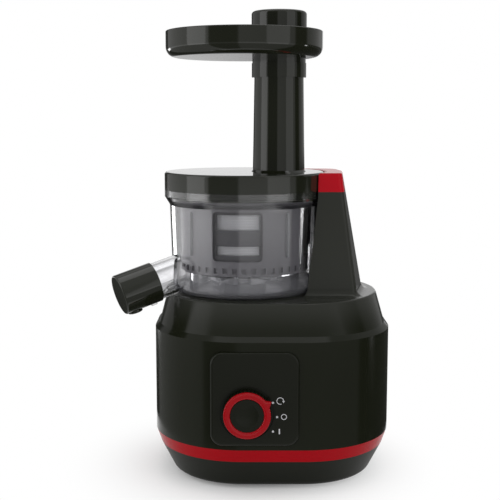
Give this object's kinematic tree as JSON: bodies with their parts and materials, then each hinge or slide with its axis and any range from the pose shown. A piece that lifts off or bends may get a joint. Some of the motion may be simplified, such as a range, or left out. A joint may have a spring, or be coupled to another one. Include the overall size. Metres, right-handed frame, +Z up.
{
  "type": "slow juicer",
  "caption": "Vertical screw juicer: black base with red trim and a dial, clear bowl with spout and drip cap, offset feed tube with a round tray and a food pusher.",
  "frame": {"origin": "on the table, under the middle of the whole object", "axes": "+Z up, -Y towards the user (the side with the dial), +X to the right of someone who faces the dial"},
  "size_m": [0.2473, 0.2089, 0.4124],
  "materials": {
    "body_black": "glossy black moulded plastic",
    "panel_black": "satin black moulded plastic",
    "trim_red": "glossy red plastic",
    "bowl_clear": "clear smoky plastic",
    "cage_grey": "light grey plastic",
    "frame_dark": "dark grey plastic",
    "switch_dark": "dark grey plastic",
    "nylon": "natural nylon",
    "mesh_steel": "fine perforated stainless steel",
    "steel": "plain steel",
    "core_iron": "stacked sheet iron",
    "copper": "enamelled copper wire",
    "bronze": "sintered bronze",
    "casting": "die-cast aluminium",
    "rubber_black": "soft black rubber",
    "silicone": "grey silicone"
  },
  "bodies": {
    "base": {"bottom_pan": "body_black", "rubber_feet": "rubber_black", "pan_screws": "steel", "trim_band": "trim_red", "body_shell": "body_black", "tower_cap": "trim_red", "reed_switch": "switch_dark", "control_panel": "panel_black", "rotary_switch": "switch_dark", "cord_gland": "panel_black", "gearbox_case": "casting", "gearbox_cover": "casting", "case_screws": "steel", "cover_screws": "steel", "idler_pin": "steel", "shaft_bush": "bronze", "shaft_bearing": "steel", "shaft_seal": "rubber_black", "motor_stator": "core_iron", "motor_windings": "copper", "motor_bracket": "casting", "motor_bolts": "steel", "motor_bushes": "bronze"},
    "dial": {"dial_body": "panel_black", "dial_ring": "trim_red", "dial_cap": "panel_black", "switch_stem": "steel"},
    "drive": {"drive_shaft": "steel", "output_gear": "steel"},
    "idler": {"idler_gear": "nylon"},
    "rotor": {"rotor_shaft": "steel", "rotor_core": "core_iron", "cooling_fan": "nylon"},
    "bowl": {"juice_bowl": "bowl_clear", "spout_nozzle": "bowl_clear", "pulp_chute": "bowl_clear", "sleeve_seal": "rubber_black", "pulp_plug": "rubber_black", "pinion_pin": "steel", "drip_o_ring": "rubber_black", "strainer_frame": "frame_dark", "strainer_mesh": "mesh_steel"},
    "spout_cap": {"drip_cap": "body_black"},
    "pinion": {"wiper_pinion": "nylon"},
    "cage": {"wiper_cage": "cage_grey", "wiper_blades": "silicone"},
    "screw": {"auger": "frame_dark"},
    "top": {"lid": "body_black", "feed_pipe": "body_black", "lid_bush": "bronze", "lid_gasket": "rubber_black", "lid_magnet": "steel"},
    "tray": {"feed_tray": "body_black"},
    "pusher": {"pusher_body": "body_black", "pusher_cap": "body_black"}
  },
  "joints": [
    {"name": "dial_turn", "type": "hinge", "parent": "base", "child": "dial", "pos_m": [-0.0029, -0.0935, 0.0733], "axis": [0, -1, 0], "range_deg": [-59, 0]},
    {"name": "drive_spin", "type": "hinge", "parent": "base", "child": "drive", "pos_m": [-0.0055, 0, 0.125], "axis": [0, 0, 1], "continuous": true},
    {"name": "idler_spin", "type": "hinge", "parent": "base", "child": "idler", "pos_m": [0.04435, 0.02324, 0.119], "axis": [0, 0, 1], "continuous": true},
    {"name": "rotor_spin", "type": "hinge", "parent": "base", "child": "rotor", "pos_m": [0.02533, -0.01754, 0.069], "axis": [0, 0, 1], "continuous": true},
    {"name": "bowl_lift", "type": "slide", "parent": "base", "child": "bowl", "axis": [0, 0, 1], "range_m": [0, 0.12]},
    {"name": "drip_cap_turn", "type": "hinge", "parent": "bowl", "child": "spout_cap", "pos_m": [-0.06214, -0.02522, 0.1825], "axis": [-0.8759, -0.39, -0.284], "range_deg": [0, 80]},
    {"name": "screw_spin", "type": "hinge", "parent": "bowl", "child": "screw", "pos_m": [-0.0055, 0, 0.215], "axis": [0, 0, 1], "continuous": true},
    {"name": "pinion_spin", "type": "hinge", "parent": "bowl", "child": "pinion", "pos_m": [0.02055, -0.02185, 0.1868], "axis": [0, 0, 1], "continuous": true},
    {"name": "cage_spin", "type": "hinge", "parent": "bowl", "child": "cage", "pos_m": [-0.0055, 0, 0.215], "axis": [0, 0, 1], "continuous": true},
    {"name": "lid_lift", "type": "slide", "parent": "bowl", "child": "top", "axis": [0, 0, 1], "range_m": [0, 0.04]},
    {"name": "tray_lift", "type": "slide", "parent": "top", "child": "tray", "axis": [0, 0, 1], "range_m": [0, 0.04]},
    {"name": "pusher_slide", "type": "slide", "parent": "tray", "child": "pusher", "axis": [0, 0, 1], "range_m": [0, 0.11]}
  ],
  "couplings": [
    {"joint": "idler_spin", "follows": "drive_spin", "ratio": -4},
    {"joint": "rotor_spin", "follows": "drive_spin", "ratio": 16},
    {"joint": "screw_spin", "follows": "drive_spin", "ratio": 1},
    {"joint": "pinion_spin", "follows": "drive_spin", "ratio": -2.4},
    {"joint": "cage_spin", "follows": "drive_spin", "ratio": -0.54545}
  ]
}
